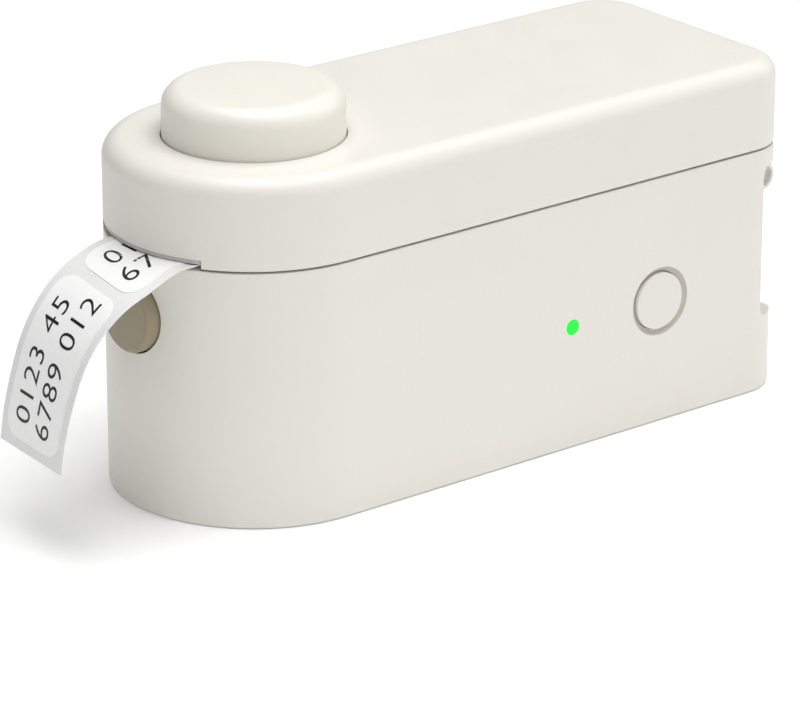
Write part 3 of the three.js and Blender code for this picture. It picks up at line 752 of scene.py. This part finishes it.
def build_slot_shade_bar():
    """The grey bar that closes the tape slot from above; it follows the round front. Its grey is painted
    shade for the band under the lid's edge.
    """
    half = SLOT_HALF - 0.1 * MM
    front, back = (
        [p for p in outline(inset, 240) if p[0] < FRONT_X and abs(p[1]) < half]
        for inset in (0.08 * MM, 1.6 * MM)
    )
    low, high = 45.58 * MM, SLOT_TOP - 0.02 * MM
    bar = prism("slot_shade_bar", front + back[::-1], "z", low, high)
    clean_edges(bar, 0.08 * MM, 2)
    dress(bar, "slot_shade_plastic", "lid")


# ---- Buttons and light ----

def build_cutter_button():
    """The round button: a cap with a domed rim, hollow below, and a flange that keeps it in the lid."""
    low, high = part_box("cutter_button")
    inside = CUTTER_RADIUS - 1.6 * MM
    ceiling = high.z - 1.5 * MM
    flange = (high.x - low.x) / 2
    flange_top = low.z + 1.1 * MM
    edge = 0.2 * MM
    profile = soften([
        (0, ceiling, 0),
        (inside, ceiling, 0.8 * MM),
        (inside, low.z, edge),
        (flange, low.z, edge),
        (flange, flange_top, edge),
        (CUTTER_RADIUS, flange_top, edge),
        (CUTTER_RADIUS, high.z, 3.3 * MM),
        (0, high.z, 0),
    ], closed=False, steps=12)
    cap = revolve("cutter_cap", profile, "z", (FRONT_X, 0), 160, wrap=False)
    shade(cap, 60)
    dress(cap, "cream_button", "cutter", ["cutter_button"])


def build_release_button():
    """The tan button on the round front, a disc on a short stem."""
    low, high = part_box("release_button")
    radius = (high.z - low.z) / 2
    stem = 2 * MM
    back = high.x - 5 * MM
    profile = soften([
        (0, low.x, 0),
        (radius, low.x, 0.8 * MM),
        (radius, back, 0.3 * MM),
        (stem, back, 0.2 * MM),
        (stem, high.x, 0.2 * MM),
        (0, high.x, 0),
    ], closed=False)
    button = revolve("release_knob", profile, "x", middle("release_button", "yz"), 128, wrap=False)
    dress(button, "tan_plastic", "release", ["release_button"])


def build_power_button():
    """The power button, and the sunk ring round it that rises towards its outside."""
    low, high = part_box("power_button")
    centre = middle("power_button", "xz")
    radius = (high.x - low.x) / 2
    face = drum(radius, low.y, high.y, 0.25 * MM, 0.2 * MM)
    key = revolve("power_key", face, "y", centre, 128, wrap=False)
    dress(key, "cream_shell", "power", ["power_button"])
    ring_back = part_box("power_ring")[1].y
    inner = radius + 0.15 * MM
    outer = RING_HOLE - 0.05 * MM
    front = -24.2 * MM
    rise = 0.75 * MM
    steps = 8
    groove = []
    for k in range(steps + 1):
        share = k / steps
        groove.append((inner + (outer - inner) * share, front - rise * share ** 2.2))
    flange = 7 * MM
    flange_front = -HALF_WIDTH + WALL + 0.1 * MM
    back = [(outer, flange_front), (flange, flange_front), (flange, ring_back), (inner, ring_back)]
    # Its darker cream is painted shade for the sunk groove.
    ring = revolve("power_groove", groove + back, "y", centre, 128)
    dress(ring, "shaded_ring_plastic", "base", ["power_ring"])


def build_light():
    """The window of the status light."""
    low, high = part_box("light_pipe")
    face = drum((high.x - low.x) / 2, low.y, high.y, 0.15 * MM, 0)
    pipe = revolve("status_window", face, "y", middle("light_pipe", "xz"), 64, wrap=False)
    dress(pipe, "green_light", "base", ["light_pipe"])


# ---- Tape ----

# The middle line of the strip, seen from the side: flat through the slot, then curling down.
STRIP_POINTS = [
    (-53.9, 44.95), (-58, 45.25), (-61.6, 45), (-66.1, 43.3), (-70, 41.4), (-73.2, 38.9),
    (-76, 35.5), (-78.2, 31.4), (-80, 26), (-81.4, 20), (-82.1, 14.5),
]
# As it falls, the strip's near edge hangs lower (tilt) and further out (reach), and it drifts sideways.
STRIP_EXIT = -59
STRIP_TOP = 45.2
STRIP_FALL = 53
LEAN_ONSET = 0.18
LEAN_REACH = 0.077
LEAN_TILT = 0.11
LEAN_DRIFT = 2.5
# Heights are over the middle of the liner strip.
LINER_HALF = 0.125
LABEL_BOTTOM = LINER_HALF + 0.005
LABEL_TOP = LINER_HALF + 0.12
INK_HEIGHT = LABEL_TOP + 0.022
INK_HALF = 0.008
LABEL_MARGIN = 1.75
LABEL_CORNER = 3.2


def smooth_line(points, per_span=40):
    """A centripetal Catmull-Rom line through the points, with its running length."""
    spots = [Vector(p) for p in points]
    spots = [spots[0] * 2 - spots[1], *spots, spots[-1] * 2 - spots[-2]]
    line = []
    for i in range(len(spots) - 3):
        a, b, c, d = spots[i:i + 4]
        t0 = 0
        t1 = t0 + math.sqrt((b - a).length)
        t2 = t1 + math.sqrt((c - b).length)
        t3 = t2 + math.sqrt((d - c).length)
        for k in range(per_span):
            t = t1 + (t2 - t1) * k / per_span
            ab = a.lerp(b, (t - t0) / (t1 - t0))
            bc = b.lerp(c, (t - t1) / (t2 - t1))
            cd = c.lerp(d, (t - t2) / (t3 - t2))
            abc = ab.lerp(bc, (t - t0) / (t2 - t0))
            bcd = bc.lerp(cd, (t - t1) / (t3 - t1))
            line.append(abc.lerp(bcd, (t - t1) / (t2 - t1)))
    line.append(spots[-2])
    lengths = [0]
    for first, second in zip(line, line[1:]):
        lengths.append(lengths[-1] + (second - first).length)
    return line, lengths


strip_line, strip_lengths = smooth_line(STRIP_POINTS)
STRIP_LENGTH = strip_lengths[-1]


def on_strip(along, across, height):
    """A point at a distance along the strip, a place across it and a height over its middle, all in mm."""
    along = min(max(along, 0), STRIP_LENGTH)
    i = next((k for k in range(1, len(strip_lengths)) if strip_lengths[k] >= along), len(strip_lengths) - 1)
    span = strip_lengths[i] - strip_lengths[i - 1]
    share = (along - strip_lengths[i - 1]) / span
    spot = strip_line[i - 1].lerp(strip_line[i], share)
    ahead = strip_line[min(i + 1, len(strip_line) - 1)] - strip_line[max(i - 2, 0)]
    ahead.normalize()
    x = spot.x + ahead.y * height
    z = spot.y - ahead.x * height
    fallen = max((STRIP_EXIT - x + STRIP_TOP - z) / STRIP_FALL, 0)
    begun = smooth_step(fallen / LEAN_ONSET)
    aside = across - TAPE_MIDDLE / MM
    return Vector((
        x + aside * LEAN_REACH * begun,
        across + LEAN_DRIFT * fallen,
        z + aside * LEAN_TILT * (1 - fallen) * begun,
    )) * MM


def smooth_step(share):
    """Rises from 0 to 1 with a level start and end."""
    share = min(max(share, 0), 1)
    return share * share * (3 - 2 * share)


def on_web(along, across, height):
    """A point on the flat web behind the cutting line; along grows towards the roll."""
    web_low, web_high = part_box("tape_web")
    return Vector((web_low.x + along * MM, across * MM, (web_low.z + web_high.z) / 2 + height * MM))


def on_roll(along, across, height):
    """A point on the roll's outside; along is a distance round it, from its top towards the rear."""
    radius = ROLL_RADIUS + height * MM
    angle = math.pi / 2 - along * MM / ROLL_RADIUS
    return Vector((ROLL.x + radius * math.cos(angle), across * MM, ROLL.z + radius * math.sin(angle)))


def lay(name, points, low, high, place, step=0.8):
    """A thin flat piece cut to an outline of (along, across) in mm, then bent onto a surface."""
    mesh = bmesh.new()
    face = mesh.faces.new([mesh.verts.new((u, v, low)) for u, v in points])
    raised = bmesh.ops.extrude_face_region(mesh, geom=[face])
    for item in raised["geom"]:
        if isinstance(item, bmesh.types.BMVert):
            item.co.z = high
    return bend(name, mesh, place, step)


def slice_across(mesh, along, **options):
    """Cuts a flat mesh across its length and returns what lies on the cut."""
    everything = mesh.verts[:] + mesh.edges[:] + mesh.faces[:]
    return bmesh.ops.bisect_plane(mesh, geom=everything, plane_co=(along, 0, 0), **options)["geom_cut"]


def bend(name, mesh, place, step, limits=()):
    """Trims a flat mesh to its limits, slices it every step along its length and moves it onto a surface."""
    for limit, direction in zip(limits, (-1, 1)):
        end = slice_across(mesh, limit, plane_no=(direction, 0, 0), clear_outer=True)
        rim = [e for e in end if isinstance(e, bmesh.types.BMEdge)]
        if rim:
            bmesh.ops.holes_fill(mesh, edges=rim, sides=0)
    low = min(v.co.x for v in mesh.verts)
    high = max(v.co.x for v in mesh.verts)
    for k in range(1, math.ceil((high - low) / step)):
        slice_across(mesh, low + k * step, plane_no=(1, 0, 0))
    for vert in mesh.verts:
        vert.co = place(vert.co.x, vert.co.y, vert.co.z)
    bmesh.ops.recalc_face_normals(mesh, faces=mesh.faces)
    data = bpy.data.meshes.new(name)
    mesh.to_mesh(data)
    mesh.free()
    piece = add_object(name, data)
    shade(piece, 40)
    return piece


def label_outline(start, end, square_start=False):
    """A label on the strip, rounded at both ends, or cut off square at its start."""
    near, far = TAPE_LOW_Y / MM + LABEL_MARGIN, TAPE_HIGH_Y / MM - LABEL_MARGIN
    first, last = 0 if square_start else LABEL_CORNER, LABEL_CORNER
    return soften([(start, near, first), (end, near, last), (end, far, last), (start, far, first)], steps=8)


def print_line(name, words, start, baseline, limits):
    """A line of generic figures that reads towards the slot, as a thin layer of ink on the strip."""
    curve = bpy.data.curves.new(name, "FONT")
    curve.body = words
    curve.size = PRINT_SIZE
    curve.offset = -0.045
    curve.space_character = 1.09
    curve.extrude = INK_HALF
    curve.resolution_u = 4
    text = add_object(name, curve)
    depsgraph = bpy.context.evaluated_depsgraph_get()
    flat = bpy.data.meshes.new_from_object(text.evaluated_get(depsgraph))
    bpy.data.objects.remove(text)
    mesh = bmesh.new()
    mesh.from_mesh(flat)
    bmesh.ops.remove_doubles(mesh, verts=mesh.verts, dist=0.0005)
    for vert in mesh.verts:
        vert.co = Vector((start - vert.co.x, baseline + vert.co.y, INK_HEIGHT + vert.co.z))
    ink = bend(name, mesh, on_strip, 0.6, limits)
    dress(ink, "print", "base")


# Each label: its name, its CAD node, its start and end along the strip, and whether its start is square.
LABELS = [
    ("label_front", "label_first", 17.1, STRIP_LENGTH - 1.8, False),
    ("label_rear", "label_second", 0.4, 15, True),
]
# Each line of print: its name, its figures, its baseline across the tape and its distance from the end.
PRINT = [("upper", "0123 45", -1.6, 2.8), ("lower", "6789 012", -7.8, 1.9)]
PRINT_SIZE = 6.2
PRINT_CLEAR = 0.3


def liner(name, node, length, place, step):
    """A straight length of liner as wide as the roll."""
    edge = rounded_rectangle((0, TAPE_LOW_Y / MM), (length, TAPE_HIGH_Y / MM), 0)
    dress(lay(name, edge, -LINER_HALF, LINER_HALF, place, step), "liner_paper", "base", [node])


def build_tape():
    """The strip outside the slot with its printed labels, and the flat web between the slot and the roll."""
    liner("tape_strip", "printed_strip", STRIP_LENGTH, on_strip, 0.8)
    for name, node, start, end, square in LABELS:
        label = lay(name, label_outline(start, end, square), LABEL_BOTTOM, LABEL_TOP, on_strip)
        dress(label, "label_paper", "base", [node])
        for part, words, baseline, inset in PRINT:
            print_line(f"{name}_print_{part}", words, end - inset, baseline, (start + PRINT_CLEAR, end))
    web_low, web_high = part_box("tape_web")
    length = (web_high.x - web_low.x) / MM
    liner("tape_under_head", "tape_web", length, on_web, 2)
    low, high = LINER_HALF + 0.003, LINER_HALF + 0.06
    starts, span, clear = (1.5, 30.8), 27, 0.5
    for index, start in enumerate(starts):
        edge = label_outline(start, min(start + span, length - clear))
        dress(lay(f"web_label_{index + 1}", edge, low, high, on_web, 2), "label_paper", "base")


def build_roll():
    """The roll: windings that don't line up, the outermost three labels, and the cardboard core."""
    centre = (ROLL.x, ROLL.z)
    radius = ROLL_RADIUS - 0.06 * MM
    inner = 10.6 * MM
    lip, lip_rise = 0.12 * MM, 0.03 * MM
    windings = 20
    chance = random.Random(4)
    sides = []
    for k in range(windings + 1):
        r = inner + (radius - inner) * k / windings
        shift = chance.uniform(0, 0.09) * MM
        sides.append((r, shift))
        if k < windings:
            sides.append((r + lip, shift + lip_rise))
    near = [(r, TAPE_LOW_Y + s) for r, s in sides]
    far = [(r, TAPE_HIGH_Y - s) for r, s in reversed(sides)]
    roll = revolve("wound_labels", near + far, "y", centre, 128)
    shade(roll, 50)
    dress(roll, "wound_paper", "roll", ["label_roll"])
    count = 3
    pitch = 2 * math.pi * ROLL_RADIUS / MM / count
    first, gap = 5, 2.4
    low, high = -0.055, -0.01
    for k in range(count):
        start = first + k * pitch
        patch = lay(f"roll_label_{k + 1}", label_outline(start, start + pitch - gap), low, high, on_roll)
        dress(patch, "label_paper", "roll")
    core_low, core_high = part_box("roll_core")
    bore = 8.8 * MM
    tube = rounded_rectangle((bore, core_low.y), ((core_high.z - core_low.z) / 2, core_high.y), 0.1 * MM, 2)
    dress(revolve("core_tube", tube, "y", centre), "cardboard", "roll", ["roll_core"])


# ---- Inside ----

def build_platen():
    """The rubber sleeve of the feed roller."""
    low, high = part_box("platen_rubber")
    radius = (high.z - low.z) / 2
    bore = 1.56 * MM
    edge = 0.4 * MM
    corners = [(bore, low.y, 0), (radius, low.y, edge), (radius, high.y, edge), (bore, high.y, 0)]
    roller = revolve("platen_sleeve", soften(corners, steps=4), "y", middle("platen_rubber", "xz"))
    dress(roller, "rubber", "platen", ["platen_rubber"])


def build_spring(name, node, radius, wire, turns, body, axis="z"):
    """A compression spring with closed ends, on a mesh of its own."""
    low, high = (getattr(end, axis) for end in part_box(node))
    centre = middle(node, "yz" if axis == "x" else "xy")
    steps_per_turn = 24
    steps = turns * steps_per_turn
    sides = 10
    closing = 0.5
    corners = []
    for i in range(steps + 1):
        share = i / steps
        eased = share - closing * math.sin(2 * math.pi * share) / (2 * math.pi)
        height = low + wire + (high - low - 2 * wire) * eased
        angle = 2 * math.pi * turns * share
        for k in range(sides):
            around = 2 * math.pi * k / sides
            reach = radius + wire * math.cos(around)
            rise = height + wire * math.sin(around)
            u = centre[0] + reach * math.cos(angle)
            v = centre[1] + reach * math.sin(angle)
            corners.append((rise, u, v) if axis == "x" else (u, v, rise))
    faces = [tuple(range(sides)), tuple(steps * sides + k for k in range(sides))]
    for i in range(steps):
        for k in range(sides):
            after = (k + 1) % sides
            faces.append((i * sides + k, i * sides + after, (i + 1) * sides + after, (i + 1) * sides + k))
    spring = make_object(name, corners, faces, 50)
    dress(spring, "steel", body, [node])
    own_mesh(spring)


def build_springs():
    """The springs under the button, over the print head and behind the release button."""
    build_spring("return_spring", "cutter_spring", radius=4.2 * MM, wire=0.4 * MM, turns=6,
                 body="lid")
    for side in ("near", "far"):
        build_spring(f"pressure_spring_{side}", f"head_spring_{side}", radius=1.4 * MM, wire=0.25 * MM,
                     turns=4, body="lid")
    build_spring("catch_spring", "release_spring", radius=2 * MM, wire=0.3 * MM, turns=2,
                 body="base", axis="x")


def build_motor():
    """The stepper motor's can with a raised seam, and a short collar round its shaft."""
    low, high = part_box("stepper_motor")
    seam = (high.z - low.z) / 2
    seam_low, seam_high, slope = low.y + 7 * MM, low.y + 8.3 * MM, 0.1 * MM
    can = seam - 0.3 * MM
    face = high.y - 0.4 * MM
    collar = 3 * MM
    bore, bore_end = 0.9 * MM, 3 * MM
    profile = soften([
        (0, low.y, 0),
        (can, low.y, 0.8 * MM),
        (can, seam_low, 0),
        (seam, seam_low + slope, 0),
        (seam, seam_high - slope, 0),
        (can, seam_high, 0),
        (can, face, 0.3 * MM),
        (collar, face, 0),
        (collar, high.y, 0.2 * MM),
        (bore, high.y, 0),
        (bore, bore_end, 0),
        (0, bore_end, 0),
    ], closed=False, steps=4)
    motor = revolve("motor_can", profile, "y", middle("stepper_motor", "xz"), wrap=False)
    dress(motor, "steel", "base", ["stepper_motor"])


def build_heat_sink():
    """The bar on the print head: a foot with shallow grooves, and an upright fin along one side."""
    low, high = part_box("heat_sink")
    foot = low.z + 1.2 * MM
    fin = high.x - 1.4 * MM
    depth = 0.35 * MM
    grooves = 3
    span = (fin - low.x) / (grooves * 2 + 1)
    comb = [(low.x, low.z), (high.x, low.z), (high.x, high.z), (fin, high.z), (fin, foot)]
    for k in range(grooves):
        right = fin - span * (2 * k + 1)
        left = right - span
        comb += [(right, foot), (right, foot - depth), (left, foot - depth), (left, foot)]
    comb.append((low.x, foot))
    sink = prism("cooling_bar", comb, "y", low.y, high.y)
    clean_edges(sink, 0.1 * MM, 2)
    dress(sink, "aluminium", "head", ["heat_sink"])


def build_base():
    """The plate under the case with its four screw holes, and the rubber pad on it."""
    low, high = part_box("base_plate")
    inset = REAR_X - high.x
    rim = 5 * MM
    profile = soften([
        (inset + rim, high.z, 0),
        (inset, high.z, 0.2 * MM),
        (inset, low.z, 0.3 * MM),
        (inset + rim, low.z, 0),
    ], closed=False, steps=4)
    plate = loft("under_plate", profile, wrap=False)
    head, head_seat, shank = 2.8 * MM, 2.15 * MM, 1.5 * MM
    for k in range(1, 5):
        centre = middle(f"base_screw_{k}", "xy")
        cut(plate, cylinder("z", head, -1 * MM, head_seat, centre, 64))
        cut(plate, cylinder("z", shank, 0, 5 * MM, centre, 48))
    clean_edges(plate, 0.15 * MM, 2)
    dress(plate, "dark_plastic", "base", ["base_plate"])
    low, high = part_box("foot_pad")
    pad = prism("grip_pad", rounded_rectangle(low, high, 7 * MM, 14), "z", low.z, high.z)
    clean_edges(pad, 0.12 * MM, 2)
    dress(pad, "rubber", "base", ["foot_pad"])


def build_socket():
    """The charging socket: a hollow metal shell round a flat tongue."""
    low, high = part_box("usb_socket")
    wall = 0.35 * MM
    shell, hollow = (
        rounded_rectangle((low.y + inset, low.z + inset), (high.y - inset, high.z - inset), radius, steps=8)
        for inset, radius in ((0, 1.4 * MM), (wall, 1.1 * MM))
    )
    port = prism("charging_port", shell, "x", low.x, high.x)
    cut(port, prism("tool", hollow, "x", low.x + 1 * MM, high.x + 1 * MM))
    clean_edges(port, 0.08 * MM, 2)
    dress(port, "steel", "base", ["usb_socket"])
    half_wide, half_thick = 3 * MM, 0.3 * MM
    height = (low.z + high.z) / 2
    tongue_low = (low.x + 0.8 * MM, -half_wide, height - half_thick)
    tongue_high = (high.x - 0.9 * MM, half_wide, height + half_thick)
    dress(rounded_box("charging_tongue", tongue_low, tongue_high, 0.2 * MM, "x"), "black_plastic", "base")


def build_board_parts():
    """Small parts on the main board: resistors and capacitors on one face, a connector on the other."""
    low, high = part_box("main_board")
    chance = random.Random(9)
    # Each row of small parts: where it starts along x and z, in mm, and how many parts it has.
    rows = [(1, 12, 5), (8, 12, 4), (25, 9, 5)]
    pitch, stagger = 2.4, 2.2
    length, width, gap = 1.6 * MM, 0.8 * MM, 0.01 * MM
    index = 0
    for start, row_z, count in rows:
        for k in range(count):
            index += 1
            x = (start + k * pitch) * MM
            z = (row_z + chance.choice((0, stagger))) * MM
            thick = chance.choice((0.5, 0.8)) * MM
            chip_low, chip_high = (x, low.y - thick, z), (x + length, low.y - gap, z + width)
            chip = rounded_box(f"board_chip_{index}", chip_low, chip_high, 0.1 * MM, "y")
            dress(chip, chance.choice(("cardboard", "black_plastic")), "base")
    plug_low = (37 * MM, high.y + 0.05 * MM, 30 * MM)
    plug_high = (42.5 * MM, high.y + 3.2 * MM, 35 * MM)
    plug = rounded_box("board_connector", plug_low, plug_high, 0.3 * MM, "y")
    clean_edges(plug, 0.1 * MM, 2)
    dress(plug, "nylon", "base")


def dress_cad_nodes():
    """Gives every CAD node rounded edges, smooth shading and its slot's finish."""
    for subpart in frame["record"]["subparts"]:
        node = frame["nodes"][subpart["node"]]
        node.data.materials.clear()
        node.data.materials.append(finishes[subpart["material_slot"]])
        node.data.polygons.foreach_set("use_smooth", [True] * len(node.data.polygons))
        weld = node.modifiers.new("weld", "WELD")
        weld.merge_threshold = 0.001 * MM
        edge = node.modifiers.new("edge", "BEVEL")
        edge.width = 0.12 * MM
        edge.segments = 2
        edge.limit_method = "ANGLE"
        edge.angle_limit = math.radians(38)
        node.modifiers.new("flats", "WEIGHTED_NORMAL")


# ---- Build ----

add_camera()
add_studio()
add_floor()
dress_cad_nodes()
build_case()
build_lid()
build_slot_shade_bar()
build_cutter_button()
build_release_button()
build_power_button()
build_light()
build_tape()
build_roll()
build_platen()
build_springs()
build_motor()
build_heat_sink()
build_base()
build_socket()
build_board_parts()
